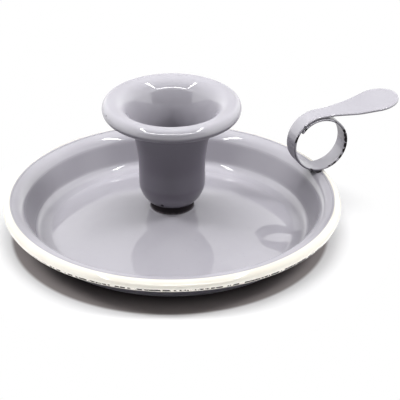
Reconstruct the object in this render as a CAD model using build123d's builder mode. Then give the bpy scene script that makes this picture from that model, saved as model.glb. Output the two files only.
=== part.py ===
from build123d import *
from math import acos, asin, atan2, cos, degrees, hypot, radians, sin
import os

# Chamberstick of enamelled sheet steel: a crowned saucer with a rolled rim, a trumpet candle
# cup on its middle and a strip bent into a finger loop that ends in a thumb leaf.
# Origin: saucer axis on the table plane. +Z up, the handle lies along +X. Millimetres.

# Sheet, enamel and gaps
saucer_sheet = 1.0
cup_sheet = 0.9
strip_sheet = 1.1
rim_coat_thickness = 0.25
coat_gap = 0.1
lap_gap = 0.25
weld_gap = 1.1

# Saucer, radii and heights on its upper face
rim_r = 71.1
rim_height = 15.0
roll_flat_r = 4.3
roll_nose_r = 1.9
roll_flat_angle = 43.0
roll_tuck_angle = 55.0
flare_r = 6.0
wall_slope = 66.0
cove_r = 4.0
rest_width = 2.5
dome_edge_slope = 19.0
dome_seat_slope = 9.5
seat_blend_r = 6.0
seat_r = 10.5

# Cream coat on the roll, angles turned past the crest and past the nose
coat_start_angle = 3.0
coat_end_angle = 30.0

# Candle cup, radii on its outer face
foot_r = 9.05
foot_edge_r = 1.2
foot_rise = 1.6
neck_r = 0.8
shoulder_slope = 38.0
body_r = 13.85
body_length = 5.9
trumpet_r = 60.0
throat_r = 19.6
lip_r = 28.9
lip_roll_r = 3.1
lip_roll_angle = 215.0
foot_weld_leg = 0.7

# Finger loop and thumb leaf
loop_r = 12.9
loop_offset = 0.1
strip_width = 8.2
lap_angle = 55.0
leaf_flat = 14.0
leaf_bend_r = 40.0
leaf_slope = 7.4
leaf_reach = 36.8
leaf_round_r = 9.5
neck_length = 5.0
neck_blend_r = 20.0
loop_weld_inward = 3.2
loop_weld_outward = 2.4
loop_weld_width = 7.4
loop_weld_shoulder = 0.3
loop_weld_root = 1.2
loop_weld_corner_r = 1.5


def turn_in(bend_r, slope):
    """Level run of an arc that turns from level to the slope."""
    return bend_r * sin(radians(slope))


def turn_up(bend_r, slope):
    """Rise of an arc that turns from level to the slope."""
    return bend_r * (1 - cos(radians(slope)))


# Saucer stations that follow from the sizes above
roll_nose_angle = 180 - 2 * roll_flat_angle
roll_reach = roll_nose_r + turn_in(roll_flat_r - roll_nose_r, roll_flat_angle)
crest_r = rim_r - rim_coat_thickness - coat_gap - roll_reach
wall_rise = rim_height - saucer_sheet - turn_up(flare_r + cove_r, wall_slope)
wall_length = wall_rise / sin(radians(wall_slope))
rest_outer = crest_r - turn_in(flare_r + cove_r, wall_slope) - wall_length * cos(radians(wall_slope))
rest_inner = rest_outer - rest_width
dome_run = rest_inner - turn_in(cove_r, dome_edge_slope) - turn_in(seat_blend_r, dome_seat_slope) - seat_r
dome_r = dome_run / (sin(radians(dome_edge_slope)) - sin(radians(dome_seat_slope)))
dome_drop = turn_up(dome_r, dome_edge_slope) - turn_up(dome_r, dome_seat_slope)
seat_height = (
    saucer_sheet
    + turn_up(cove_r, dome_edge_slope)
    + dome_drop
    + turn_up(seat_blend_r, dome_seat_slope)
)

# Saucer: one sheet, drawn along its upper face from the seat to the end of the roll
with BuildPart() as saucer:
    with BuildSketch(Plane.XZ) as saucer_section:
        with BuildLine() as saucer_face:
            seat = Line((0, seat_height), (seat_r, seat_height))
            seat_blend = JernArc(seat @ 1, seat % 1, seat_blend_r, -dome_seat_slope)
            dome = JernArc(seat_blend @ 1, seat_blend % 1, dome_r, dome_seat_slope - dome_edge_slope)
            inner_cove = JernArc(dome @ 1, dome % 1, cove_r, dome_edge_slope)
            rest = Line(inner_cove @ 1, (rest_outer, saucer_sheet))
            outer_cove = JernArc(rest @ 1, (1, 0), cove_r, wall_slope)
            wall = PolarLine(outer_cove @ 1, wall_length, wall_slope)
            flare = JernArc(wall @ 1, wall % 1, flare_r, -wall_slope)
            roll_top = JernArc(flare @ 1, (1, 0), roll_flat_r, -roll_flat_angle)
            roll_nose = JernArc(roll_top @ 1, roll_top % 1, roll_nose_r, -roll_nose_angle)
            roll_under = JernArc(roll_nose @ 1, roll_nose % 1, roll_flat_r, -roll_flat_angle)
            roll_tuck = JernArc(roll_under @ 1, (-1, 0), roll_nose_r, -roll_tuck_angle)
            offset(amount=saucer_sheet, side=Side.RIGHT)
        make_face()
    revolve(axis=Axis.Z)
saucer.part.label = "saucer"

# Coat stations: its back runs one gap outside the roll
coat_flat_r = roll_flat_r + coat_gap
coat_nose_r = roll_nose_r + coat_gap
coat_start = (
    crest_r + turn_in(coat_flat_r, coat_start_angle),
    rim_height + coat_gap - turn_up(coat_flat_r, coat_start_angle),
)
coat_heading = (cos(radians(coat_start_angle)), -sin(radians(coat_start_angle)))

# Cream coat: a thin shell on the outer part of the roll
with BuildPart() as rim_coat:
    with BuildSketch(Plane.XZ) as coat_section:
        with BuildLine() as coat_back:
            coat_top = JernArc(coat_start, coat_heading, coat_flat_r, coat_start_angle - roll_flat_angle)
            coat_nose = JernArc(coat_top @ 1, coat_top % 1, coat_nose_r, -roll_nose_angle)
            coat_under = JernArc(coat_nose @ 1, coat_nose % 1, coat_flat_r, -coat_end_angle)
            offset(amount=rim_coat_thickness, side=Side.LEFT)
        make_face()
    revolve(axis=Axis.Z)
rim_coat.part.label = "rim_coat"

# Cup stations
neck_turn = 90 - shoulder_slope
shoulder_run = body_r - foot_r - turn_up(neck_r, neck_turn)
shoulder_r = shoulder_run / turn_up(1, neck_turn)
mouth_r = lip_r - lip_roll_r
trumpet_angle = degrees(acos(1 - (throat_r - body_r) / trumpet_r))
lip_bend_r = (mouth_r - throat_r) / cos(radians(trumpet_angle))

# Candle cup: one sheet, drawn along its outer face from the foot to the end of the lip roll
with BuildPart() as candle_cup:
    with BuildSketch(Plane.XZ) as cup_section:
        with BuildLine() as cup_face:
            bottom = Line((0, seat_height), (foot_r - foot_edge_r, seat_height))
            foot_edge = JernArc(bottom @ 1, bottom % 1, foot_edge_r, 90)
            foot_wall = PolarLine(foot_edge @ 1, foot_rise, 90)
            neck = JernArc(foot_wall @ 1, foot_wall % 1, neck_r, -neck_turn)
            shoulder = JernArc(neck @ 1, neck % 1, shoulder_r, neck_turn)
            body = PolarLine(shoulder @ 1, body_length, 90)
            trumpet = JernArc(body @ 1, body % 1, trumpet_r, -trumpet_angle)
            lip_bend = JernArc(trumpet @ 1, trumpet % 1, lip_bend_r, trumpet_angle - 90)
            lip_roll = JernArc(lip_bend @ 1, (1, 0), lip_roll_r - cup_sheet, -lip_roll_angle)
            offset(amount=cup_sheet, side=Side.LEFT)
        make_face()
    revolve(axis=Axis.Z)
candle_cup.part.label = "candle_cup"

# Foot weld: a hollow fillet round the rounded foot edge
with BuildPart() as foot_weld:
    with BuildSketch(Plane.XZ) as foot_weld_section:
        with BuildLine() as foot_weld_outline:
            weld_base = Line((foot_r - foot_edge_r, seat_height), (foot_r + foot_weld_leg, seat_height))
            weld_face = RadiusArc(weld_base @ 1, (foot_r, seat_height + foot_edge_r), 2 * foot_edge_r)
            CenterArc((foot_r - foot_edge_r, seat_height + foot_edge_r), foot_edge_r, -90, 90)
        make_face()
    revolve(axis=Axis.Z)
foot_weld.part.label = "foot_weld"

# Loop stations: the strip closes round the loop and laps inside its own first turn
loop_x = crest_r + loop_offset
loop_bottom = rim_height + weld_gap
loop_top = loop_bottom + 2 * loop_r
lap_step = (strip_sheet + lap_gap) / 2

# Leaf stations: each flank leaves the neck and runs on as a tangent of the round end
neck_end = (loop_x + neck_length, strip_width / 2)
round_x = loop_x + leaf_reach - leaf_round_r
flank_run = round_x - loop_x - neck_length
flank_span = hypot(flank_run, strip_width / 2)
flank_angle = asin(leaf_round_r / flank_span) - atan2(strip_width / 2, flank_run)
flank_end = (round_x - leaf_round_r * sin(flank_angle), leaf_round_r * cos(flank_angle))

# Thumb leaf: bent strip section trimmed to its outline seen from above
with BuildPart() as leaf:
    with BuildSketch(Plane.XZ) as leaf_section:
        with BuildLine() as leaf_face:
            leaf_level = Line((loop_x, loop_top), (loop_x + leaf_flat, loop_top))
            leaf_bend = JernArc(leaf_level @ 1, (1, 0), leaf_bend_r, leaf_slope)
            leaf_end = PolarLine(leaf_bend @ 1, leaf_reach, leaf_slope)
            offset(amount=strip_sheet, side=Side.RIGHT)
        make_face()
    extrude(amount=leaf_round_r, both=True)
    with BuildSketch(Plane.XY) as leaf_plan:
        with BuildLine() as leaf_outline:
            leaf_neck = Line((loop_x, strip_width / 2), neck_end)
            leaf_flank = Line(neck_end, flank_end)
            mirror(about=Plane.XZ)
            ThreePointArc(flank_end, (loop_x + leaf_reach, 0), (flank_end[0], -flank_end[1]))
            Line((loop_x, strip_width / 2), (loop_x, -strip_width / 2))
        make_face()
        neck_corners = leaf_plan.vertices().sort_by(Axis.X)[2:4]
        fillet(neck_corners, neck_blend_r)
    extrude(amount=2 * loop_top, mode=Mode.INTERSECT)

# Finger loop: half turn, smaller half turn, then the lap inside the first one
with BuildPart() as finger_loop:
    with BuildSketch(Plane.XZ) as loop_section:
        with BuildLine() as loop_face:
            near_out = JernArc((loop_x, loop_top), (-1, 0), loop_r, 180)
            far_out = JernArc(near_out @ 1, (1, 0), loop_r - lap_step, 180)
            lap_out = JernArc(far_out @ 1, (-1, 0), loop_r - 2 * lap_step, lap_angle)
            near_in = JernArc((loop_x, loop_top - strip_sheet), (-1, 0), loop_r - strip_sheet, 180)
            far_in = JernArc(near_in @ 1, (1, 0), loop_r - lap_step - strip_sheet, 180)
            lap_in = JernArc(far_in @ 1, (-1, 0), loop_r - 2 * lap_step - strip_sheet, lap_angle)
            Line(near_out @ 0, near_in @ 0)
            Line(lap_out @ 1, lap_in @ 1)
        make_face()
    extrude(amount=strip_width / 2, both=True)
    add(leaf.part)
finger_loop.part.label = "finger_loop"

# Loop weld: fills the wedge between the bottom of the loop and the crest of the rim
with BuildPart() as loop_weld:
    with BuildSketch(Plane.XZ) as loop_weld_section:
        weld_depth = weld_gap + loop_weld_shoulder + loop_weld_root
        with Locations((crest_r, loop_bottom + loop_weld_shoulder)):
            Rectangle(loop_weld_inward, weld_depth, align=(Align.MAX, Align.MAX))
        with Locations((crest_r, rim_height - flare_r)):
            Circle(flare_r, mode=Mode.SUBTRACT)
        with Locations((crest_r, loop_bottom + loop_weld_shoulder)):
            Rectangle(loop_weld_outward, weld_depth, align=(Align.MIN, Align.MAX))
        with Locations((crest_r, rim_height - roll_flat_r)):
            Circle(coat_flat_r, mode=Mode.SUBTRACT)
        add(coat_section.sketch, mode=Mode.SUBTRACT)
    revolve(axis=Axis.Z)
    with BuildSketch(Plane.XY) as loop_weld_plan:
        with Locations((crest_r + (loop_weld_outward - loop_weld_inward) / 2, 0)):
            RectangleRounded(loop_weld_inward + loop_weld_outward, loop_weld_width, loop_weld_corner_r)
    extrude(amount=loop_top, mode=Mode.INTERSECT)
    add(finger_loop.part, mode=Mode.SUBTRACT)
loop_weld.part.label = "loop_weld"

os.makedirs("parts", exist_ok=True)
export_step(saucer.part, "parts/saucer.step")
export_step(rim_coat.part, "parts/rim_coat.step")
export_step(candle_cup.part, "parts/candle_cup.step")
export_step(foot_weld.part, "parts/foot_weld.step")
export_step(finger_loop.part, "parts/finger_loop.step")
export_step(loop_weld.part, "parts/loop_weld.step")
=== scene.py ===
import math

import bpy
import numpy as np
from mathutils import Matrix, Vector


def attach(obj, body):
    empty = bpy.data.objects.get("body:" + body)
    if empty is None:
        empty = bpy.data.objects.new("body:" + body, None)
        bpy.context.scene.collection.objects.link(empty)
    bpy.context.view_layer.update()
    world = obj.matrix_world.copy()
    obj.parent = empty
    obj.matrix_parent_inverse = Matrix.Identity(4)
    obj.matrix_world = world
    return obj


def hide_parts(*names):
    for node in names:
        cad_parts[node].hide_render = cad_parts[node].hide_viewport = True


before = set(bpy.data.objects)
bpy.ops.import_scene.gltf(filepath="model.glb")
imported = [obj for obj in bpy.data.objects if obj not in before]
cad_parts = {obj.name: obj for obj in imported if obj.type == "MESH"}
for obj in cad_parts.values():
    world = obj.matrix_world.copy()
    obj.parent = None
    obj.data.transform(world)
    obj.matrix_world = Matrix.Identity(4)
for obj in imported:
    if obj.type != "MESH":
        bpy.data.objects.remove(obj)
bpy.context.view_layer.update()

bl_info = {
    "name": "Enamel Chamberstick",
    "version": (1, 0, 0),
    "blender": (4, 5, 0),
    "location": "View3D > Sidebar > Chamberstick",
    "description": "Builds an enamelled chamberstick, saucer, cup and finger loop, and its studio stage",
    "category": "Add Mesh",
}

FULL_TURN = 2 * math.pi
QUARTER_TURN = math.pi / 2
BODY = "root"
LILAC_SLOT = "lilac_enamel"
CREAM_SLOT = "cream_enamel"
GROUND_SLOT = "ground_coat"
# Largest turn between two points of a bend, and points on the half-round edge of a sheet
BEND_STEP = math.radians(7)
EDGE_POINTS = 9
# How far a weld reaches into the sheets that it joins, in metres
WELD_BITE = 0.0001
# Noises: waves to the metre, levels of detail and roughness
CLOUD_NOISE = (38.0, 4.0, 0.5)
SPECK_NOISE = (1500.0, 1.0, 0.5)
GLOSS_NOISE = (120.0, 3.0, 0.5)
PEEL_NOISE = (420.0, 2.0, 0.5)
CHIP_NOISE = (900.0, 3.0, 0.6)
LUMP_NOISE = (700.0, 4.0, 0.6)
SPOT_NOISE = (900.0, 2.0, 0.5)
# Values of a noise between which it passes from one state to the other
CLOUD_LIMITS = (0.35, 0.70)
SPECK_LIMITS = (0.74, 0.80)
GLOSS_LIMITS = (0.30, 0.75)
LUMP_LIMITS = (0.36, 0.62)
SPOT_LIMITS = (0.35, 0.70)
# Roughness of glossy and satin enamel, of spots on a weld, and what bare ground coat adds
GLOSS_ROUGHNESS = (0.004, 0.02)
SATIN_ROUGHNESS = 0.30
SPOT_ROUGHNESS = (0.35, 0.70)
BARE_ROUGHNESS = 0.40
# Mirroring of the enamel, of bare ground coat and of welds
ENAMEL_IOR = 1.60
ENAMEL_SHEEN = 0.50
BARE_SHEEN = 0.08
WELD_SHEEN = 0.20
# Strength and depth in metres of the bumps
PEEL_BUMP = {"Strength": 0.02, "Distance": 0.0001}
CHIP_BUMP = {"Strength": 0.6, "Distance": 0.0002}
LUMP_BUMP = {"Strength": 0.5, "Distance": 0.0003}
# Chips down to the ground coat: place and radius in metres
CUP_CHIPS = (
    (0.0157, -0.0236, 0.0554, 0.0008),
    (-0.0286, 0.0006, 0.0585, 0.0003),
    (-0.0080, -0.0085, 0.0172, 0.0008),
)
LOOP_CHIPS = (
    (0.0599, -0.0041, 0.0368, 0.0007),
    (0.0564, -0.0041, 0.0349, 0.0005),
    (0.0613, -0.0041, 0.0390, 0.0004),
    (0.0778, -0.0041, 0.0330, 0.0010),
    (0.0785, -0.0041, 0.0308, 0.0012),
    (0.0789, -0.0041, 0.0285, 0.0012),
    (0.0786, -0.0041, 0.0261, 0.0011),
    (0.0778, -0.0041, 0.0238, 0.0009),
)


def length(name, description, metres):
    """A length property with its default in metres."""
    return bpy.props.FloatProperty(
        name=name, description=description, default=metres, unit="LENGTH", precision=5
    )


def angle(name, description, degrees):
    """An angle property with its default given in degrees."""
    return bpy.props.FloatProperty(
        name=name, description=description, default=math.radians(degrees), subtype="ANGLE", unit="ROTATION"
    )


def colour(name, description, rgb):
    """A colour property in linear light."""
    return bpy.props.FloatVectorProperty(
        name=name, description=description, default=rgb, size=3, min=0.0, max=1.0, subtype="COLOR"
    )


def power(name, description, watts):
    """The power of a lamp in watts."""
    return bpy.props.FloatProperty(
        name=name, description=description, default=watts, min=0.0, unit="POWER"
    )


def level(name, description, value):
    """A plain number from 0 up: a brightness, where 1 is white, or a share of it."""
    return bpy.props.FloatProperty(name=name, description=description, default=value, min=0.0)


class SaucerSizes(bpy.types.PropertyGroup):
    """Sizes of the pressed saucer and of the cream coat on its rolled rim."""

    rim_radius: length("Rim radius", "Outermost radius over the coated roll", 0.0711)
    rim_height: length("Rim height", "Table to the crest of the rim", 0.015)
    sheet: length("Sheet", "Thickness of the enamelled sheet", 0.001)
    roll_flat: length("Roll flat", "Radius of the flatter bends above and below the roll", 0.0043)
    roll_nose: length("Roll nose", "Radius of the outer bend of the roll", 0.0019)
    roll_flat_turn: angle("Roll flat turn", "Turn of each flatter bend of the roll", 43.0)
    roll_tuck_turn: angle("Roll tuck turn", "How far the edge tucks on inside the roll", 55.0)
    flare_radius: length("Flare radius", "Radius between wall and crest", 0.006)
    wall_slope: angle("Wall slope", "Slope of the wall above level", 66.0)
    cove_radius: length("Cove radius", "Radius between floor and wall", 0.004)
    rest_width: length("Rest width", "Width of the flat ring on the table", 0.0025)
    dome_edge_slope: angle("Floor edge slope", "Slope of the crowned floor at its outer edge", 19.0)
    dome_seat_slope: angle("Floor seat slope", "Slope of the crowned floor beside the seat", 9.5)
    seat_blend: length("Seat blend", "Radius between the seat and the crowned floor", 0.006)
    seat_radius: length("Seat radius", "Flat seat under the cup", 0.0105)
    coat_thickness: length("Coat thickness", "Thickness of the cream coat", 0.00025)
    coat_gap: length("Coat gap", "Play between the roll and the coat's back", 0.0001)
    coat_start: angle("Coat start", "Upper edge of the cream coat, turned past the crest", 3.0)
    coat_end: angle("Coat end", "Lower edge of the cream coat, turned past the nose", 30.0)


class CupSizes(bpy.types.PropertyGroup):
    """Sizes of the candle cup and of the weld at its foot."""

    sheet: length("Sheet", "Thickness of the enamelled sheet", 0.0009)
    foot_radius: length("Foot radius", "Outside radius of the foot", 0.00905)
    foot_edge: length("Foot edge", "Rounding under the foot", 0.0012)
    foot_rise: length("Foot rise", "Straight part of the foot", 0.0016)
    neck_radius: length("Neck radius", "Hollow rounding above the foot", 0.0008)
    shoulder_slope: angle("Shoulder slope", "Slope where the shoulder leaves the foot", 38.0)
    body_radius: length("Body radius", "Outside radius of the straight socket", 0.01385)
    body_length: length("Body length", "Length of the straight socket", 0.0059)
    trumpet_radius: length("Trumpet radius", "Long bend of the trumpet", 0.060)
    throat_radius: length("Throat radius", "Where the long bend meets the bend of the lip", 0.0196)
    lip_radius: length("Lip radius", "Outermost radius of the lip", 0.0289)
    lip_roll: length("Lip roll", "Outside radius of the rolled lip", 0.0031)
    lip_turn: angle("Lip turn", "How far the lip curls on from its crest", 215.0)
    weld_leg: length("Weld leg", "Reach of the foot weld on the seat", 0.0007)


class HandleSizes(bpy.types.PropertyGroup):
    """Sizes of the strip that makes the finger loop and the thumb leaf."""

    loop_radius: length("Loop radius", "Outside radius of the finger loop", 0.0129)
    loop_offset: length("Loop offset", "Loop middle outside the crest of the rim", 0.0001)
    weld_gap: length("Weld gap", "Height of the loop above the crest", 0.0011)
    strip_width: length("Strip width", "Width of the strip round the loop", 0.0082)
    strip_sheet: length("Strip thickness", "Thickness of the enamelled strip", 0.0011)
    lap_gap: length("Lap gap", "Gap between the lapped turns", 0.00025)
    lap_angle: angle("Lap angle", "How far the end laps inside the first turn", 55.0)
    leaf_flat: length("Leaf flat", "Level part of the leaf from the loop middle", 0.014)
    leaf_bend: length("Leaf bend", "Radius where the leaf turns up", 0.040)
    leaf_slope: angle("Leaf slope", "Rise of the thumb leaf outward", 7.4)
    leaf_reach: length("Leaf reach", "Loop middle to the tip of the leaf", 0.0368)
    leaf_round: length("Leaf round", "Radius of the rounded end of the leaf", 0.0095)
    neck_length: length("Neck length", "Loop middle to the corner where the leaf widens", 0.005)
    neck_blend: length("Neck blend", "Rounding of that corner", 0.020)
    weld_inset: length("Weld inset", "Middle of the loop weld inside the crest", 0.0004)
    weld_reach: length("Weld reach", "Half length of the loop weld across the rim", 0.0029)
    weld_spread: length("Weld spread", "Half width of the loop weld along the rim", 0.0038)


class EnamelColours(bpy.types.PropertyGroup):
    """Colours of the enamels, in linear light, with a darker lilac and a lighter cream that are painted shade
    and painted light.
    """

    lilac: colour("Lilac", "Lilac-grey enamel", (0.415, 0.403, 0.443))
    lilac_thin: colour("Thin lilac", "Lilac enamel where it runs thinner", (0.385, 0.373, 0.413))
    # Painted shade: a much darker lilac that steep faces take, for the shade on the cup's sides, the saucer's
    # wall and the loop
    lilac_painted_shade: colour("Steep lilac", "Lilac enamel on steep faces", (0.102, 0.092, 0.117))
    cream: colour("Cream", "Cream enamel of the rim", (0.80, 0.767, 0.69))
    cream_thin: colour("Thin cream", "Cream enamel where it runs thinner", (0.745, 0.705, 0.62))
    # Painted light, named pooled cream: a lighter cream that steep and downward faces of the roll take, so
    # that its lower side comes out bright
    cream_painted_light: colour("Pooled cream", "Cream enamel on steep faces", (0.97, 0.93, 0.85))
    ground: colour("Ground coat", "Dark ground coat in chips and welds", (0.014, 0.011, 0.013))

    def lilacs(self, upright, level_face):
        """Tones of the lilac enamel, in the order that enamel takes them, the last with the painted shade of
        steep faces.
        """
        return self.lilac, self.lilac_thin, self.ground, (self.lilac_painted_shade, upright, level_face)


class StageSettings(bpy.types.PropertyGroup):
    """Camera and light of the studio stage."""

    azimuth: angle("Azimuth", "Camera direction round the object", -22.7)
    elevation: angle("Elevation", "Camera height angle", 28.55)
    distance: length("Distance", "Camera to its aim point", 0.96718)
    lens: bpy.props.FloatProperty(
        name="Lens", description="Focal length on a 36 mm sensor", default=206.73, subtype="DISTANCE_CAMERA"
    )
    aim: bpy.props.FloatVectorProperty(
        name="Aim", description="Point the camera looks at", default=(0.010779, -0.004509, 0.01381),
        size=3, subtype="TRANSLATION", unit="LENGTH"
    )
    ceiling: length("Ceiling", "Height of the strip lights over the table", 0.60)
    overhead: power("Overhead light", "Power of the overhead softbox", 3.55)
    side_boxes: power("Side softboxes", "Power of each side softbox", 2.5)
    side_strips: power("Side strips", "Power of each side strip light", 1.2)
    front_strip: power("Front strip", "Power of the front strip light", 4.2)
    tent_wall: level("Tent wall", "Brightness of the tent behind the object", 0.85)
    tent_side: level("Tent sides", "Brightness of the tent beside the object", 2.10)
    tent_roof: level("Tent roof", "Brightness of the tent above the object", 1.50)
    tent_window: level("Tent window", "Brightness of the dark opening on the camera side", 0.07)
    tent_fill: level("Tent fill", "Share of the tent's light that reaches matt surfaces", 0.12)
    front_fill: level("Front fill", "Light from the opening that reaches matt surfaces only", 0.46)


def groups(context, *names):
    """Property groups of the scene, by name."""
    return [getattr(context.scene, "chamberstick_" + name) for name in names]


def trace(start, heading, runs, spacing):
    """Path in a plane through straight runs (length,) and bends (radius, turn), turns to the left positive.

    Each bend is an arc about the point one radius to the side it turns to, and starts in the direction
    in which the run before it ends. Returns the points and the heading at each point.
    """
    points = [np.array([start], float)]
    headings = [np.array([heading], float)]
    for run in runs:
        origin, course = points[-1][-1], headings[-1][-1]
        if len(run) == 1:
            count = max(2, math.ceil(run[0] / spacing))
            reach = np.linspace(0, run[0], count + 1)[1:]
            turned = np.full(count, course)
            spots = origin + reach[:, None] * np.array([math.cos(course), math.sin(course)])
        else:
            radius, turn = run
            count = max(math.ceil(abs(turn) * radius / spacing), math.ceil(abs(turn) / BEND_STEP), 2)
            turned = course + np.linspace(0, turn, count + 1)[1:]
            side = math.copysign(radius, turn)
            centre = origin + side * np.array([-math.sin(course), math.cos(course)])
            spots = centre - side * np.stack([-np.sin(turned), np.cos(turned)], -1)
        points.append(spots)
        headings.append(turned)
    return np.concatenate(points), np.concatenate(headings)


def placed(name, data):
    """New object of the scene, at the origin."""
    made = bpy.data.objects.new(name, data)
    bpy.context.scene.collection.objects.link(made)
    return made


def closed_mesh(name, points, quads, triangles):
    """Mesh object at the origin from arrays of points and faces, turned so that its volume is positive."""
    fans = np.concatenate([quads[:, [0, 1, 2]], quads[:, [0, 2, 3]], triangles])
    a, b, c = points[fans.T]
    if (a * np.cross(b, c)).sum() < 0:
        quads, triangles = quads[:, ::-1], triangles[:, ::-1]
    mesh = bpy.data.meshes.new(name)
    mesh.from_pydata(points.tolist(), [], quads.tolist() + triangles.tolist(), shade_flat=False)
    mesh.update()
    return placed(name, mesh)


def grid_quads(rows, columns, wraps):
    """Quads of a grid of points whose rows are rings; its last row joins the first one if it wraps."""
    i, j = np.meshgrid(np.arange(rows if wraps else rows - 1), np.arange(columns), indexing="ij")
    i_next, j_next = (i + 1) % rows, (j + 1) % columns
    corners = [i * columns + j, i_next * columns + j, i_next * columns + j_next, i * columns + j_next]
    return np.stack(corners, -1).reshape(-1, 4)


def wrapped_grid(name, grid):
    """Closed ring from a grid of points (round, section, 3) that wraps in both directions."""
    no_triangles = np.empty((0, 3), int)
    return closed_mesh(name, grid.reshape(-1, 3), grid_quads(*grid.shape[:2], True), no_triangles)


def capped_tube(name, grid):
    """Closed tube from a grid (along, round, 3): rings joined by quads, each end closed on its mean point."""
    along, around = grid.shape[:2]
    points = np.concatenate([grid.reshape(-1, 3), grid[[0, -1]].mean(1)])
    step = np.arange(around)
    after = (step + 1) % around
    base = (along - 1) * around
    first = np.stack([np.full(around, len(points) - 2), step, after], -1)
    last = np.stack([np.full(around, len(points) - 1), base + after, base + step], -1)
    return closed_mesh(name, points, grid_quads(along, around, False), np.concatenate([first, last]))


def ring_grid(radius, height, turn):
    """Points (round, section, 3): the radius times the cosine and the sine of each turn, and the height."""
    x, y = radius * np.cos(turn)[:, None], radius * np.sin(turn)[:, None]
    return np.stack([x, y, np.broadcast_to(height, x.shape)], -1)


def spun_sheet(name, height, runs, spacing, thickness, segments):
    """Sheet of revolution about Z: its drawn face, a half-round edge at the far end and the other face back.

    The drawn face is traced outward from the axis at a height, level at first, so that each end closes flat
    on the axis. The other face lies one thickness to the left (to the right for a negative thickness).
    """
    path, headings = trace((0, height), 0.0, runs, spacing)
    left = np.stack([-np.sin(headings), np.cos(headings)], -1)
    other = path + thickness * left
    middle = path[-1] + 0.5 * thickness * left[-1]
    turn = np.linspace(0, math.pi, EDGE_POINTS)[1:-1, None]
    ahead = np.array([math.cos(headings[-1]), math.sin(headings[-1])])
    edge = middle - 0.5 * thickness * np.cos(turn) * left[-1] + 0.5 * abs(thickness) * np.sin(turn) * ahead
    section = np.concatenate([path[1:], edge, other[:0:-1]])
    round_z = np.arange(segments) * FULL_TURN / segments
    return capped_tube(name, ring_grid(*section.T, round_z).swapaxes(0, 1))


def mark_points(piece, name, values):
    """Stores one value for each point of a piece, for its material to read."""
    piece.data.attributes.new(name, "FLOAT", "POINT").data.foreach_set("value", values.ravel())


def waves(turn, counts, phases):
    """Smooth uneven line round a turn: a sum of sines of the given counts, each weaker as it gets finer."""
    counts, phases = np.array(counts, float), np.array(phases, float)
    return (np.sin(np.multiply.outer(turn, counts) + phases) / np.sqrt(counts)).sum(-1) / np.sqrt(len(counts))


def rise(bend, slope):
    """Rise of an arc that turns from level to the slope: its radius times one less the slope's cosine."""
    return bend * (1 - math.cos(slope))


def crest_radius(saucer):
    """Radius of the crest of the rim: the rim's radius less its coat and half the width of the oval roll."""
    reach = saucer.roll_nose + (saucer.roll_flat - saucer.roll_nose) * math.sin(saucer.roll_flat_turn)
    return saucer.rim_radius - saucer.coat_thickness - saucer.coat_gap - reach


def roll_place(saucer, turned, lift):
    """Radius and height on the oval roll where the sheet has turned so far past its crest, lifted outward.

    The oval is a flat arc, a nose arc and a flat arc, each tangent to the next. A point is the middle of its
    arc plus the arc's radius along the outward direction (sine of the turn outward, cosine upward).
    """
    flat, nose, corner = saucer.roll_flat, saucer.roll_nose, saucer.roll_flat_turn
    shift = flat - nose
    # 0 on the upper flat arc, 1 on the nose and 2 on the lower flat arc
    arc = 0 + (turned >= corner) + (turned > math.pi - corner)
    bend = np.where(arc == 1, nose, flat) + lift
    middle_r = crest_radius(saucer) + np.where(arc == 1, shift * math.sin(corner), 0.0)
    middle_z = saucer.rim_height - flat + arc * shift * math.cos(corner)
    return middle_r + bend * np.sin(turned), middle_z + bend * np.cos(turned)


def saucer_stations(saucer):
    """Sizes of the saucer's upper face that follow from its bends.

    The wall takes the height that the cove and the flare leave, the crowned floor takes the width between the
    seat and the resting ring, and the seat lies above the table by the rises of the bends below it.
    """
    bends = saucer.flare_radius + saucer.cove_radius
    wall = saucer.wall_slope
    wall_length = (saucer.rim_height - saucer.sheet - rise(bends, wall)) / math.sin(wall)
    rest_outer = crest_radius(saucer) - bends * math.sin(wall) - wall_length * math.cos(wall)
    edge, seat = saucer.dome_edge_slope, saucer.dome_seat_slope
    run = rest_outer - saucer.rest_width - saucer.cove_radius * math.sin(edge)
    run -= saucer.seat_blend * math.sin(seat) + saucer.seat_radius
    dome = run / (math.sin(edge) - math.sin(seat))
    seat_height = saucer.sheet + rise(saucer.cove_radius, edge) + rise(dome, edge) - rise(dome, seat)
    seat_height += rise(saucer.seat_blend, seat)
    return {"wall_length": wall_length, "dome": dome, "seat_height": seat_height}


def leaf_half_width(handle, out):
    """Half width of the leaf at a distance out from the loop's middle.

    The strip's own half width, a rounded corner, a flank that runs on as a tangent of the round end, and
    the round end, a circle about the middle of the leaf's end.
    """
    strip, bend, end = 0.5 * handle.strip_width, handle.neck_blend, handle.leaf_round
    middle = handle.leaf_reach - end
    run = middle - handle.neck_length
    flank = math.asin(end / math.hypot(run, strip)) - math.atan2(strip, run)
    start = handle.neck_length - bend * math.tan(flank / 2)
    stop = start + bend * math.sin(flank)
    corner = strip + bend - np.sqrt(bend ** 2 - np.clip(out - start, 0, stop - start) ** 2)
    side = corner + math.tan(flank) * np.clip(out - stop, 0, None)
    disc = np.sqrt(np.clip(end ** 2 - (out - middle) ** 2, 0, None))
    return np.where(out < middle - end * math.sin(flank), side, disc)


def node(tree, kind, inputs=None, **settings):
    """Adds a shader node, sets its properties and fills or links its inputs."""
    made = tree.nodes.new(kind)
    for key, value in settings.items():
        setattr(made, key, value)
    for key, value in (inputs or {}).items():
        if isinstance(value, bpy.types.NodeSocket):
            tree.links.new(value, made.inputs[key])
        else:
            made.inputs[key].default_value = value
    return made


def blank_material(name):
    """Material with an empty node tree, and in it the place on the object."""
    material = bpy.data.materials.new(name)
    material.use_nodes = True
    tree = material.node_tree
    tree.nodes.clear()
    return material, tree, node(tree, "ShaderNodeTexCoord").outputs["Object"]


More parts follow.
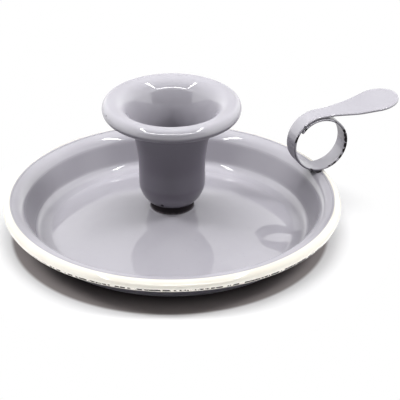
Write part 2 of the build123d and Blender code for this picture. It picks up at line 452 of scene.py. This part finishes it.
def noise(tree, place, kind):
    """Value of a noise texture at a place, 0 to 1."""
    scale, detail, roughness = kind
    inputs = {"Vector": place, "Scale": scale, "Detail": detail, "Roughness": roughness}
    return node(tree, "ShaderNodeTexNoise", inputs).outputs["Fac"]


def ramp(tree, value, low, high, to_low=0.0, to_high=1.0, kind="SMOOTHSTEP"):
    """Step of a value between two limits, smooth unless the kind says otherwise."""
    inputs = {"Value": value, "From Min": low, "From Max": high, "To Min": to_low, "To Max": to_high}
    return node(tree, "ShaderNodeMapRange", inputs, interpolation_type=kind).outputs["Result"]


def mixed(tree, factor, a, b):
    """Number that runs evenly from a to b as the factor runs from 0 to 1."""
    return ramp(tree, factor, 0.0, 1.0, a, b, "LINEAR")


def maths(tree, operation, a, b):
    """One arithmetic node."""
    return node(tree, "ShaderNodeMath", {0: a, 1: b}, operation=operation).outputs[0]


def times(tree, a, b):
    """Product of two numbers."""
    return maths(tree, "MULTIPLY", a, b)


def blend_colour(tree, factor, a, b):
    """Mix of two colours, each the output of a node or three numbers.

    Inputs 6 and 7 of the node are its two colours, and output 2 is their mix.
    """
    a, b = (tone if isinstance(tone, bpy.types.NodeSocket) else (*tone, 1.0) for tone in (a, b))
    return node(tree, "ShaderNodeMix", {0: factor, 6: a, 7: b}, data_type="RGBA").outputs[2]


def measured(tree, operation, a, b=(0, 0, 0)):
    """Number from a vector node: a distance, a length or a dot product."""
    return node(tree, "ShaderNodeVectorMath", {0: a, 1: b}, operation=operation).outputs["Value"]


def flattened(tree, place):
    """The place moved down to the table."""
    return node(tree, "ShaderNodeVectorMath", {0: place, 1: (1, 1, 0)}, operation="MULTIPLY").outputs[0]


def from_axis(tree, place):
    """Distance of a place from the Z axis."""
    return measured(tree, "LENGTH", flattened(tree, place))


def marked(tree, name):
    """Value that is stored at the points of a piece."""
    return node(tree, "ShaderNodeAttribute", attribute_name=name).outputs["Fac"]


def bumped(tree, height, bump, **inputs):
    """Direction of a face with bumps of the given height on it."""
    return node(tree, "ShaderNodeBump", {"Height": height, **bump, **inputs}).outputs["Normal"]


def scaled(rgb, factor):
    """Colour made darker or lighter."""
    return [factor * value for value in rgb]


def chip_mask(tree, place, chips):
    """1 inside any of the chips (x, y, z, radius), else 0.

    Inside is where the distance from the chip's middle plus a noise, both over the radius, is below a limit.
    """
    unevenness = 1.6
    inner_limit = 1.75
    outer_limit = 1.85
    ragged = noise(tree, place, CHIP_NOISE)
    mask = None
    for *middle, radius in chips:
        away = measured(tree, "DISTANCE", place, middle)
        uneven = maths(tree, "ADD", away, times(tree, ragged, unevenness * radius))
        inside = ramp(tree, uneven, inner_limit * radius, outer_limit * radius, 1.0, 0.0)
        mask = inside if mask is None else maths(tree, "MAXIMUM", mask, inside)
    return mask


def enamel(
    name, tone, thin, ground, steep, chips=(), extra_mask=None, satin=None, border=None, leveller=None
):
    """Gloss enamel: cloudy tone, fine specks, faint orange peel, and chips down to the dark ground coat.

    Steep is (tone, upright, level): the enamel takes that tone as its face turns from level to upright, both
    given as the upward part of the face's direction; this tone is painted shade where it is darker and
    painted light where it is lighter. Leveller is what is added to that part, so that a place counts as more
    level than it is and takes less of that painted tone. Below the upward part satin the enamel is less
    glossy. Border is (tone, mask): a thin line of that tone where the mask is 1.
    """
    speck_cover = 0.35
    speck_tone = 0.6
    satin_blend = 0.25
    material, tree, place = blank_material(name)
    cloud = ramp(tree, noise(tree, place, CLOUD_NOISE), *CLOUD_LIMITS)
    body = blend_colour(tree, cloud, tone, thin)
    facing = node(tree, "ShaderNodeNewGeometry").outputs["Normal"]
    upward = node(tree, "ShaderNodeSeparateXYZ", {0: facing}).outputs["Z"]
    if leveller is not None:
        upward = maths(tree, "ADD", upward, leveller(tree, place))
    # Painted shading: as a face turns upright it takes the painted tone, darker for painted shade or lighter
    # for painted light
    painted_tone, upright, level_face = steep
    body = blend_colour(tree, ramp(tree, upward, upright, level_face), painted_tone, body)
    if border is not None:
        border_tone, border_mask = border
        body = blend_colour(tree, border_mask(tree), body, border_tone)
    speck = ramp(tree, noise(tree, place, SPECK_NOISE), *SPECK_LIMITS, 0.0, speck_cover)
    body = blend_colour(tree, speck, body, scaled(thin, speck_tone))
    mask = chip_mask(tree, place, chips) if chips else None
    if extra_mask is not None:
        dark_marks = extra_mask(tree, place)
        mask = dark_marks if mask is None else maths(tree, "MAXIMUM", mask, dark_marks)
    gloss = ramp(tree, noise(tree, place, GLOSS_NOISE), *GLOSS_LIMITS, *GLOSS_ROUGHNESS)
    if satin is not None:
        dull = ramp(tree, upward, satin, satin + satin_blend, SATIN_ROUGHNESS, 0.0)
        gloss = maths(tree, "ADD", gloss, dull)
    bump = bumped(tree, noise(tree, place, PEEL_NOISE), PEEL_BUMP)
    sheen = ENAMEL_SHEEN
    if mask is not None:
        body = blend_colour(tree, mask, body, ground)
        gloss = maths(tree, "ADD", gloss, times(tree, mask, BARE_ROUGHNESS))
        sheen = mixed(tree, mask, ENAMEL_SHEEN, BARE_SHEEN)
        bump = bumped(tree, maths(tree, "SUBTRACT", 1.0, mask), CHIP_BUMP, Normal=bump)
    surface = {"Base Color": body, "Roughness": gloss, "Normal": bump}
    surface.update({"IOR": ENAMEL_IOR, "Specular IOR Level": sheen})
    shader = node(tree, "ShaderNodeBsdfPrincipled", surface)
    node(tree, "ShaderNodeOutputMaterial", {"Surface": shader.outputs[0]})
    return material


def weld_finish(name, ground, cover, skirt=None):
    """Rough dark ground coat over weld metal, lumpy, with a thin cover on the lumps and a few glossy spots.

    Skirt is (tone, inner radius, outer radius): the enamel that runs over the weld from outside.
    """
    material, tree, place = blank_material(name)
    lumps = noise(tree, place, LUMP_NOISE)
    tone = blend_colour(tree, ramp(tree, lumps, *LUMP_LIMITS), ground, cover)
    if skirt is not None:
        skirt_tone, inner, outer = skirt
        over = ramp(tree, from_axis(tree, place), inner, outer)
        tone = blend_colour(tree, over, tone, skirt_tone)
    gloss = ramp(tree, noise(tree, place, SPOT_NOISE), *SPOT_LIMITS, *SPOT_ROUGHNESS)
    bump = bumped(tree, lumps, LUMP_BUMP)
    shader = node(
        tree, "ShaderNodeBsdfPrincipled",
        {"Base Color": tone, "Roughness": gloss, "Normal": bump, "Specular IOR Level": WELD_SHEEN},
    )
    node(tree, "ShaderNodeOutputMaterial", {"Surface": shader.outputs[0]})
    return material


def dress(piece, material, slot, *nodes):
    """Gives a piece its material and body, and lets it stand for its CAD nodes."""
    piece.data.materials.append(material)
    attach(piece, BODY)
    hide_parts(*nodes)


def floor_white(name, middle):
    """White floor that keeps the shadow round its middle and fades to plain white farther out.

    The camera sees it painted dark under the object, a painted shadow over the real one, paler to the edge of
    the shadow and pale beyond. What it throws on to matt faces drops farther out. Distances are in metres
    from the middle.
    """
    # Painted shadow: tones that the camera sees on the floor, dark under the object, then paler to the edge
    # of the shadow and the halo
    dark, edge, pale = (0.045, 0.038, 0.037), (0.30, 0.272, 0.27), (0.80, 0.80, 0.81)
    dark_end, edge_end, pale_start = 0.050, 0.0655, 0.0675
    shadow_end, white_start = 0.070, 0.095
    bounce, far_bounce = 0.9, 0.1
    bounce_end, far_start = 0.12, 0.16
    material, tree, place = blank_material(name)
    distance = measured(tree, "DISTANCE", place, tuple(middle))
    far = ramp(tree, distance, shadow_end, white_start)
    path = node(tree, "ShaderNodeLightPath").outputs
    seen = maths(tree, "MAXIMUM", path["Is Camera Ray"], path["Is Glossy Ray"])
    seen = maths(tree, "MAXIMUM", seen, path["Is Transmission Ray"])
    white = node(tree, "ShaderNodeEmission", {"Color": (1, 1, 1, 1), "Strength": 1.0}).outputs[0]
    thrown = ramp(tree, distance, bounce_end, far_start, bounce, far_bounce)
    lit = node(tree, "ShaderNodeCombineColor", {0: thrown, 1: thrown, 2: thrown}).outputs[0]
    under = blend_colour(tree, ramp(tree, distance, dark_end, edge_end), dark, edge)
    shade = blend_colour(tree, ramp(tree, distance, edge_end, pale_start), under, pale)
    tone = blend_colour(tree, path["Is Camera Ray"], lit, shade)
    paint = node(tree, "ShaderNodeBsdfDiffuse", {"Color": tone}).outputs[0]
    cover = node(tree, "ShaderNodeMixShader", {0: times(tree, far, seen), 1: paint, 2: white})
    node(tree, "ShaderNodeOutputMaterial", {"Surface": cover.outputs[0]})
    return material


def light_tent(name, stage, away, aside):
    """World of a light tent: bright walls, a roof that dims to the front and a dark opening to the camera.

    The opening is where the direction towards the camera is long against the direction aside and upward. All
    limits are parts of a direction of length 1. Matt faces get only a share of the tent, and a fill from the
    opening.
    """
    opening_width, opening_height = 1.6, 0.80
    width_blend, height_blend = 0.24, 0.06
    roof_back, roof_front, front_share = -0.2, 0.4, 0.4
    wall_end, side_start = 0.15, 0.45
    wall_top, roof_start = 0.45, 0.80
    world = bpy.data.worlds.new(name)
    world.use_nodes = True
    tree = world.node_tree
    tree.nodes.clear()
    toward = node(tree, "ShaderNodeTexCoord").outputs["Generated"]
    front = measured(tree, "DOT_PRODUCT", toward, tuple(-away))
    up = measured(tree, "DOT_PRODUCT", toward, (0, 0, 1))
    sideways = maths(tree, "ABSOLUTE", measured(tree, "DOT_PRODUCT", toward, tuple(aside)), 0.0)

    def within(size, part, blend):
        """1 where the direction to the front, times the size, is longer than the part."""
        spare = maths(tree, "SUBTRACT", times(tree, front, size), part)
        return ramp(tree, spare, 0.0, blend)

    in_width = within(opening_width, sideways, width_blend)
    in_height = within(opening_height, up, height_blend)
    window = times(tree, in_width, in_height)
    roof = ramp(tree, front, roof_back, roof_front, stage.tent_roof, front_share * stage.tent_roof)
    wall = ramp(tree, sideways, wall_end, side_start, stage.tent_wall, stage.tent_side)
    cloth = ramp(tree, up, wall_top, roof_start, wall, roof)
    glow = mixed(tree, window, cloth, stage.tent_window)
    path = node(tree, "ShaderNodeLightPath").outputs
    fill = times(tree, window, stage.front_fill)
    matt_glow = maths(tree, "ADD", times(tree, glow, stage.tent_fill), fill)
    strength = mixed(tree, path["Is Diffuse Ray"], glow, matt_glow)
    tent = node(tree, "ShaderNodeBackground", {"Color": (1, 1, 1, 1), "Strength": strength}).outputs[0]
    plain = node(tree, "ShaderNodeBackground", {"Color": (1, 1, 1, 1), "Strength": 1.0}).outputs[0]
    seen = node(tree, "ShaderNodeMixShader", {0: path["Is Camera Ray"], 1: tent, 2: plain})
    node(tree, "ShaderNodeOutputWorld", {"Surface": seen.outputs[0]})
    return world


class CHAMBERSTICK_OT_saucer(bpy.types.Operator):
    """Spins the sheet of the saucer: seat, crowned floor, trough, wall, flare and hollow roll"""

    bl_idname = "chamberstick.saucer"
    bl_label = "Saucer"

    def execute(self, context):
        """Runs and bends outward from the axis, over the floor, up the wall and round the roll."""
        spacing, segments = 0.0012, 320
        # Painted shade: the wall and the steeper bends darken towards the painted tone from an upward part of
        # 0.62 down to 0.15
        upright, level_face, satin = 0.15, 0.62, 0.42
        sizes, colours = groups(context, "saucer", "colours")
        at = saucer_stations(sizes)
        edge, seat, wall = sizes.dome_edge_slope, sizes.dome_seat_slope, sizes.wall_slope
        piece = spun_sheet(
            "saucer_shell", at["seat_height"],
            [
                (sizes.seat_radius,),
                (sizes.seat_blend, -seat),
                (at["dome"], seat - edge),
                (sizes.cove_radius, edge),
                (sizes.rest_width,),
                (sizes.cove_radius, wall),
                (at["wall_length"],),
                (sizes.flare_radius, -wall),
                (sizes.roll_flat, -sizes.roll_flat_turn),
                (sizes.roll_nose, 2 * sizes.roll_flat_turn - math.pi),
                (sizes.roll_flat, -sizes.roll_flat_turn),
                (sizes.roll_nose, -sizes.roll_tuck_turn),
            ],
            spacing, -sizes.sheet, segments,
        )
        material = enamel("saucer lilac enamel", *colours.lilacs(upright, level_face), satin=satin)
        dress(piece, material, LILAC_SLOT, "saucer")
        return {"FINISHED"}


class CHAMBERSTICK_OT_rim_coat(bpy.types.Operator):
    """Lays the cream coat round the outside of the rolled rim, with uneven edges and chips"""

    bl_idname = "chamberstick.rim_coat"
    bl_label = "Rim coat"

    def execute(self, context):
        """Outline at each turn: out from a wavy upper edge to a wavy lower edge, and back along the roll.

        Outside it lies off the roll by the coat's gap and thickness, less towards both edges by a power.
        """
        around, across, edge_power = 480, 32, 6
        upper_sway, lower_sway = math.radians(2.0), math.radians(3.0)
        sizes, colours = groups(context, "saucer", "colours")
        turn = np.arange(around) * FULL_TURN / around
        upper = sizes.coat_start + upper_sway * waves(turn, [5, 9, 16, 31], [0.3, 1.9, 4.0, 2.2])
        lower = math.pi - sizes.roll_flat_turn + sizes.coat_end
        lower = lower + lower_sway * waves(turn, [7, 13, 29, 61], [2.1, 0.4, 3.3, 5.0])
        share = 0.5 - 0.5 * np.cos(np.linspace(0, math.pi, across))
        turned = upper[:, None] + (lower - upper)[:, None] * share
        body = np.sqrt(np.clip(1 - np.abs(2 * share - 1) ** edge_power, 0, 1))
        lift = sizes.coat_gap + sizes.coat_thickness * body
        turned = np.concatenate([turned, turned[:, ::-1]], 1)
        lift = np.concatenate([lift, np.full_like(lift, -0.5 * sizes.coat_gap)])
        piece = wrapped_grid("rim_cream", ring_grid(*roll_place(sizes, turned, lift), turn))
        mark_points(piece, "roll_turn", turned)

        def worn_edge(tree, place):
            """Broken dashes of bare ground coat along the lower edge of the coat, most on one side of it."""
            worn_side, side_share = math.radians(-104), 0.5
            patch_noise, patch_share, patch_limits = (60.0, 2.0, 0.5), 0.6, (0.55, 0.63)
            dash_noise, dash_limits = (560.0, 3.0, 0.65), (0.47, 0.51)
            ragged_noise, ragged_turn = (700.0, 2.0, 0.5), 0.16
            start, start_blend = math.radians(105), 0.04
            width, end_blend = 0.34, 0.06
            flat = flattened(tree, place)
            worst = (math.cos(worn_side) / sizes.rim_radius, math.sin(worn_side) / sizes.rim_radius, 0.0)
            sided = times(tree, measured(tree, "DOT_PRODUCT", flat, worst), side_share)
            patchy = times(tree, noise(tree, flat, patch_noise), patch_share)
            patches = ramp(tree, maths(tree, "ADD", sided, patchy), *patch_limits)
            dashes = ramp(tree, noise(tree, flat, dash_noise), *dash_limits)
            ragged = times(tree, noise(tree, place, ragged_noise), ragged_turn)
            past = maths(tree, "ADD", marked(tree, "roll_turn"), ragged)
            begun = ramp(tree, past, start, start + start_blend)
            ended = ramp(tree, past, start + width, start + width + end_blend, 1.0, 0.0)
            band = times(tree, begun, ended)
            return times(tree, times(tree, patches, dashes), band)

        def inner_edge(tree):
            """The edge of the coat on the crest, where the lilac below shows as a thin line, darkened a
            little as painted shade.
            """
            line_turn, line_blend = 0.14, 0.08
            start = sizes.coat_start + line_turn
            return ramp(tree, marked(tree, "roll_turn"), start, start + line_blend, 1.0, 0.0)

        # Painted light: the cream lightens towards the painted-light tone as its face turns from an upward
        # part of 0.7 down to -0.2; the lilac line at the coat's edge is darkened a little as painted shade
        upright, level_face = -0.2, 0.7
        line_shade_tone = 0.93
        material = enamel(
            "rim cream enamel", colours.cream, colours.cream_thin, colours.ground,
            (colours.cream_painted_light, upright, level_face), extra_mask=worn_edge,
            border=(scaled(colours.lilac, line_shade_tone), inner_edge),
        )
        dress(piece, material, CREAM_SLOT, "rim_coat")
        return {"FINISHED"}


class CHAMBERSTICK_OT_candle_cup(bpy.types.Operator):
    """Spins the sheet of the candle cup: foot, shoulder, socket, trumpet and rolled lip"""

    bl_idname = "chamberstick.candle_cup"
    bl_label = "Candle cup"

    def execute(self, context):
        """Runs and bends outward from the axis, up the foot and the socket and round the lip.

        The shoulder's bend takes the width from foot to socket that the neck's bend leaves, the trumpet turns
        until it reaches the throat, and the lip's bend takes the width from throat to mouth.
        """
        spacing, segments = 0.0009, 224
        # Painted shade: the cup's steep and downward faces darken towards the painted tone from an upward
        # part of 0.52 down to -0.1
        upright, level_face, satin = -0.1, 0.52, 0.0
        sizes, colours, saucer = groups(context, "cup", "colours", "saucer")
        seat_height = saucer_stations(saucer)["seat_height"]
        neck_turn = QUARTER_TURN - sizes.shoulder_slope
        shoulder = (sizes.body_radius - sizes.foot_radius) / rise(1, neck_turn) - sizes.neck_radius
        mouth = sizes.lip_radius - sizes.lip_roll
        long_turn = math.acos(1 - (sizes.throat_radius - sizes.body_radius) / sizes.trumpet_radius)
        lip_bend = (mouth - sizes.throat_radius) / math.cos(long_turn)
        piece = spun_sheet(
            "cup_shell", seat_height,
            [
                (sizes.foot_radius - sizes.foot_edge,),
                (sizes.foot_edge, QUARTER_TURN),
                (sizes.foot_rise,),
                (sizes.neck_radius, -neck_turn),
                (shoulder, neck_turn),
                (sizes.body_length,),
                (sizes.trumpet_radius, -long_turn),
                (lip_bend, long_turn - QUARTER_TURN),
                (sizes.lip_roll - sizes.sheet, -sizes.lip_turn),
            ],
            spacing, sizes.sheet, segments,
        )
        foot_top = seat_height + sizes.foot_edge + sizes.foot_rise + sizes.neck_radius

        def dark_foot(tree, place):
            """Dark tone of the ground coat on the outside of the foot, up to a ragged line."""
            ragged_noise, ragged_height = (500.0, 3.0, 0.6), 0.0008
            line, line_end = foot_top + 0.0012, foot_top + 0.0014
            inner, outer = sizes.foot_radius - 0.7 * sizes.sheet, sizes.foot_radius - 0.4 * sizes.sheet
            outside = ramp(tree, from_axis(tree, place), inner, outer)
            height = node(tree, "ShaderNodeSeparateXYZ", {0: place}).outputs["Z"]
            ragged = times(tree, noise(tree, place, ragged_noise), ragged_height)
            low = ramp(tree, maths(tree, "ADD", height, ragged), line, line_end, 1.0, 0.0)
            return times(tree, outside, low)

        def lip_shade_lift(tree, place):
            """The outside of the lip's roll, which takes less of the painted shade than other steep faces."""
            blend, lighter = 0.0015, 0.4
            return ramp(tree, from_axis(tree, place), mouth, mouth + blend, 0.0, lighter)

        material = enamel(
            "cup lilac enamel", *colours.lilacs(upright, level_face), CUP_CHIPS,
            extra_mask=dark_foot, satin=satin, leveller=lip_shade_lift,
        )
        dress(piece, material, LILAC_SLOT, "candle_cup")
        return {"FINISHED"}


class CHAMBERSTICK_OT_foot_weld(bpy.types.Operator):
    """Lays the uneven weld ring round the foot of the cup"""

    bl_idname = "chamberstick.foot_weld"
    bl_label = "Foot weld"

    def execute(self, context):
        """Outline at each turn: a hollow slope up from the seat to the foot, and back round the foot's edge.

        The slope is a straight line less a half sine, and a sum of waves makes it uneven.
        """
        around, across = 192, 12
        unevenness, hollow = 0.16, 0.25
        cover_tone, skirt_tone = 3.0, 0.7
        skirt_start, skirt_end = 0.0001, 0.0004
        cup, colours, saucer = groups(context, "cup", "colours", "saucer")
        seat_height = saucer_stations(saucer)["seat_height"]
        turn = np.arange(around) * FULL_TURN / around
        lump = 1 + unevenness * waves(turn, [6, 11, 19, 34], [1.0, 4.2, 0.6, 2.7])
        share = np.linspace(0, 1, across)
        sag = 0.5 * hollow * np.sin(math.pi * share)
        leg = cup.weld_leg * (1 - share - sag)
        up = cup.foot_edge * (share - sag)
        bend = cup.foot_edge - WELD_BITE
        back = QUARTER_TURN * share[::-1]
        inner_r = cup.foot_radius - cup.foot_edge + bend * np.sin(back)
        inner_z = bend * (1 - np.cos(back))
        radius = np.concatenate([cup.foot_radius + np.outer(lump, leg), np.tile(inner_r, (around, 1))], 1)
        height = np.concatenate([np.outer(lump, up), np.tile(inner_z, (around, 1))], 1) + seat_height
        piece = wrapped_grid("foot_weld_ring", ring_grid(radius, height, turn))
        material = weld_finish(
            "foot weld ground coat", colours.ground, scaled(colours.ground, cover_tone),
            (scaled(colours.lilac, skirt_tone), cup.foot_radius + skirt_start, cup.foot_radius + skirt_end),
        )
        dress(piece, material, GROUND_SLOT, "foot_weld")
        return {"FINISHED"}


class CHAMBERSTICK_OT_finger_loop(bpy.types.Operator):
    """Bends the strip: thumb leaf, finger loop and the end that laps inside the first turn"""

    bl_idname = "chamberstick.finger_loop"
    bl_label = "Finger loop and thumb leaf"

    def execute(self, context):
        """Outline at each point of the bent path: two flat faces and two half-round edges.

        The outline is as wide as the leaf or the strip there, and thins to a round at both ends of the path.
        """
        spacing = 0.0004
        tip_zone, tip_first, tip_points = 0.0016, 0.06, 12
        face_points, thinnest, end_play, edge_share = 17, 0.02, 0.00002, 0.6
        # Painted shade: the loop's steep and downward faces darken towards the painted tone from an upward
        # part of 0.6 down to -0.45
        upright, level_face, satin = -0.45, 0.6, 0.0
        sizes, colours, saucer = groups(context, "handle", "colours", "saucer")
        loop_x = crest_radius(saucer) + sizes.loop_offset
        loop_top = saucer.rim_height + sizes.weld_gap + 2 * sizes.loop_radius
        step = 0.5 * (sizes.strip_sheet + sizes.lap_gap)
        slope = sizes.leaf_slope
        heading = math.pi + slope
        leaf_run = sizes.leaf_reach - sizes.leaf_flat - sizes.leaf_bend * math.sin(slope)
        leaf_run = leaf_run / math.cos(slope)
        tip_height = loop_top + rise(sizes.leaf_bend, slope) + leaf_run * math.sin(slope)
        path, headings = trace(
            (loop_x + sizes.leaf_reach, tip_height), heading,
            [
                (leaf_run,),
                (sizes.leaf_bend, -slope),
                (sizes.leaf_flat,),
                (sizes.loop_radius, math.pi),
                (sizes.loop_radius - step, math.pi),
                (sizes.loop_radius - 2 * step, sizes.lap_angle),
            ],
            spacing,
        )
        # Rows of points lie closer together towards the tip
        near_tip = tip_zone * (1 - np.cos(np.linspace(tip_first, QUARTER_TURN, tip_points)))[:-1]
        start = np.array([math.cos(heading), math.sin(heading)])
        keep = np.linalg.norm(path - path[0], axis=1) > tip_zone
        path = np.concatenate([path[0] + near_tip[:, None] * start, path[keep]])
        headings = np.concatenate([np.full(len(near_tip), heading), headings[keep]])
        run = np.concatenate([[near_tip[0]], np.linalg.norm(np.diff(path, axis=0), axis=1)]).cumsum()

        out = path[:, 0] - loop_x
        on_leaf = run < leaf_run + sizes.leaf_bend * slope + sizes.leaf_flat
        half = np.where(on_leaf, leaf_half_width(sizes, out), 0.5 * sizes.strip_width)

        edge = 0.5 * sizes.strip_sheet
        ends = np.minimum(run, run[-1] + end_play - run)
        thin = np.sqrt(np.clip(1 - (1 - np.clip(ends / edge, 0, 1)) ** 2, thinnest ** 2, 1))
        across = np.linspace(-1, 1, face_points)
        bend = np.linspace(-QUARTER_TURN, QUARTER_TURN, EDGE_POINTS)[1:-1]
        edge_reach = np.minimum(edge, edge_share * half)
        flat = (half - edge_reach)[:, None]
        y = np.concatenate([flat * across, flat + edge_reach[:, None] * np.cos(bend)], 1)
        y = np.concatenate([y, -y], 1)
        face = np.concatenate([np.ones(face_points), -np.sin(bend)])
        depth = (edge * thin)[:, None] * np.append(face, -face)
        left = np.stack([-np.sin(headings), np.cos(headings)], -1)
        centre = path + edge * left
        spot = centre[:, None, :] - depth[..., None] * left[:, None, :]
        piece = capped_tube("finger_loop_strip", np.stack([spot[..., 0], y, spot[..., 1]], -1))
        on_edge = np.tile(np.repeat([0.0, 1.0], [face_points, len(bend)]), 2)
        mark_points(piece, "strip_edge", np.append(np.outer(~on_leaf, on_edge), [0, 0]))

        def worn_edge(tree, place):
            """Ground coat that shows in broken lines along both edges of the loop."""
            wear_noise, wear_limits = (260.0, 3.0, 0.6), (0.55, 0.62)
            edge_limits = (0.55, 0.95)
            broken = ramp(tree, noise(tree, place, wear_noise), *wear_limits)
            return times(tree, ramp(tree, marked(tree, "strip_edge"), *edge_limits), broken)

        material = enamel(
            "loop lilac enamel", *colours.lilacs(upright, level_face), LOOP_CHIPS,
            extra_mask=worn_edge, satin=satin,
        )
        dress(piece, material, LILAC_SLOT, "finger_loop")
        return {"FINISHED"}


class CHAMBERSTICK_OT_loop_weld(bpy.types.Operator):
    """Fills the wedge between the loop and the crest of the rim with a lumpy weld"""

    bl_idname = "chamberstick.loop_weld"
    bl_label = "Loop weld"

    def execute(self, context):
        """Waisted oval tube from the bends of the rim up to the circle of the loop.

        The oval is a stretched circle, a half sine makes it slimmer half way up and a sum of waves makes it
        uneven. Its height runs evenly from the rim below each point to the loop above it.
        """
        around, tall = 72, 11
        unevenness, hollow, cover_tone = 0.07, 0.16, 0.6
        sizes, colours, saucer = groups(context, "handle", "colours", "saucer")
        crest = crest_radius(saucer)
        turn = np.arange(around) * FULL_TURN / around
        lump = 1 + unevenness * waves(turn, [3, 5, 9, 14], [0.5, 2.8, 4.4, 1.1])
        share = np.linspace(0, 1, tall)[:, None]
        swell = lump * (1 - hollow * np.sin(math.pi * share))
        x = crest - sizes.weld_inset + sizes.weld_reach * swell * np.cos(turn)
        y = sizes.weld_spread * swell * np.sin(turn)
        radius = np.hypot(x, y)

        def drop(bend, away):
            """Height by which a round bend leaves its level point at a distance away from it."""
            return bend - np.sqrt(bend ** 2 - np.clip(away, 0, None) ** 2)

        rim = drop(saucer.flare_radius, crest - radius) + drop(saucer.roll_flat, radius - crest)
        floor = saucer.rim_height - rim - WELD_BITE
        aside = np.abs(x - crest - sizes.loop_offset)
        ceiling = saucer.rim_height + sizes.weld_gap + drop(sizes.loop_radius, aside) + WELD_BITE
        z = floor * (1 - share) + ceiling * share
        piece = capped_tube("loop_weld_bead", np.stack([x, y, z], -1))
        material = weld_finish("loop weld ground coat", colours.ground, scaled(colours.lilac, cover_tone))
        dress(piece, material, GROUND_SLOT, "loop_weld")
        return {"FINISHED"}


class CHAMBERSTICK_OT_stage(bpy.types.Operator):
    """Sets up the pale floor, the light tent, the softboxes, the strip lights and the camera"""

    bl_idname = "chamberstick.stage"
    bl_label = "Studio stage"

    def execute(self, context):
        scene, stage = context.scene, context.scene.chamberstick_stage
        scene.view_settings.view_transform = "Standard"
        away = Vector((-math.sin(stage.azimuth), math.cos(stage.azimuth), 0.0))
        aside = Vector((math.cos(stage.azimuth), math.sin(stage.azimuth), 0.0))

        reach, shadow_front, shadow_left = 3.0, 0.0035, 0.001
        corners = [(-reach, -reach, 0), (reach, -reach, 0), (reach, reach, 0), (-reach, reach, 0)]
        floor_mesh = bpy.data.meshes.new("studio_floor")
        floor_mesh.from_pydata(corners, [], [(0, 1, 2, 3)])
        floor = placed("studio_floor", floor_mesh)
        shadow_middle = -shadow_front * away - shadow_left * aside
        floor_mesh.materials.append(floor_white("studio floor white", shadow_middle))

        scene.world = light_tent("light tent", stage, away, aside)
        # Widths are in metres, and places and lengths in heights of the ceiling
        high = stage.ceiling
        overhead_width, box_width, front_width, strip_width = 0.55, 0.20, 0.08, 0.03
        front_length, strip_length = 1.5 * high, 0.95 * high
        box_tilt, strip_turn = math.radians(47), math.radians(68)

        def spot(right, back, up):
            """Place so many ceiling heights to the right, to the back and up."""
            return high * (right * aside + back * away + up * Vector((0, 0, 1)))

        overhead = (spot(0, 1 / 12, 1.15), 0, 0, overhead_width, overhead_width, stage.overhead, "matt")
        self.hang(scene, "overhead_softbox", *overhead)
        front = (spot(0, -0.85, 1), 0, 0, front_length, front_width, stage.front_strip, "gloss")
        self.hang(scene, "front_strip", *front)
        for side, name in ((-1, "left"), (1, "right")):
            box = (spot(0.85 * side, 0.03, 0.80), side * box_tilt, 0, box_width, box_width)
            self.hang(scene, name + "_softbox", *box, stage.side_boxes, "matt")
            strip = (spot(0.52 * side, -0.20, 1), 0, -side * strip_turn, strip_length, strip_width)
            self.hang(scene, name + "_strip", *strip, stage.side_strips, "gloss")

        lens = bpy.data.cameras.new("product camera")
        lens.lens = stage.lens
        camera = placed("product_camera", lens)
        back = -math.cos(stage.elevation) * away + Vector((0, 0, math.sin(stage.elevation)))
        camera.location = Vector(stage.aim) + stage.distance * back
        camera.rotation_euler = (-back).to_track_quat("-Z", "Y").to_euler()
        scene.camera = camera
        return {"FINISHED"}

    def hang(self, scene, name, place, tilt, turn, across, deep, watts, lights):
        """Adds a flat lamp, tilted and turned from straight down, for matt faces or for gloss reflections."""
        lamp = bpy.data.lights.new(name, "AREA")
        lamp.shape = "RECTANGLE"
        lamp.size, lamp.size_y = across, deep
        lamp.energy = watts
        fitting = placed(name, lamp)
        fitting.location = place
        fitting.rotation_euler = (0, tilt, scene.chamberstick_stage.azimuth + turn)
        fitting.visible_diffuse = lights == "matt"
        fitting.visible_glossy = lights == "gloss"


class CHAMBERSTICK_PT_panel(bpy.types.Panel):
    """Lists the pieces of the chamberstick in the sidebar"""

    bl_idname = "CHAMBERSTICK_PT_panel"
    bl_label = "Chamberstick"
    bl_space_type = "VIEW_3D"
    bl_region_type = "UI"
    bl_category = "Chamberstick"

    def draw(self, context):
        for operator in OPERATORS:
            self.layout.operator(operator.bl_idname)


OPERATORS = (
    CHAMBERSTICK_OT_stage,
    CHAMBERSTICK_OT_saucer,
    CHAMBERSTICK_OT_rim_coat,
    CHAMBERSTICK_OT_candle_cup,
    CHAMBERSTICK_OT_foot_weld,
    CHAMBERSTICK_OT_finger_loop,
    CHAMBERSTICK_OT_loop_weld,
)
GROUPS = {
    "chamberstick_saucer": SaucerSizes,
    "chamberstick_cup": CupSizes,
    "chamberstick_handle": HandleSizes,
    "chamberstick_colours": EnamelColours,
    "chamberstick_stage": StageSettings,
}
CLASSES = (*GROUPS.values(), *OPERATORS, CHAMBERSTICK_PT_panel)


def register():
    for kind in CLASSES:
        bpy.utils.register_class(kind)
    for name, kind in GROUPS.items():
        setattr(bpy.types.Scene, name, bpy.props.PointerProperty(type=kind))


def unregister():
    for name in GROUPS:
        delattr(bpy.types.Scene, name)
    for kind in reversed(CLASSES):
        bpy.utils.unregister_class(kind)


def main():
    register()
    bpy.ops.chamberstick.stage()
    bpy.ops.chamberstick.saucer()
    bpy.ops.chamberstick.rim_coat()
    bpy.ops.chamberstick.candle_cup()
    bpy.ops.chamberstick.foot_weld()
    bpy.ops.chamberstick.finger_loop()
    bpy.ops.chamberstick.loop_weld()


if __name__ == "__main__":
    main()
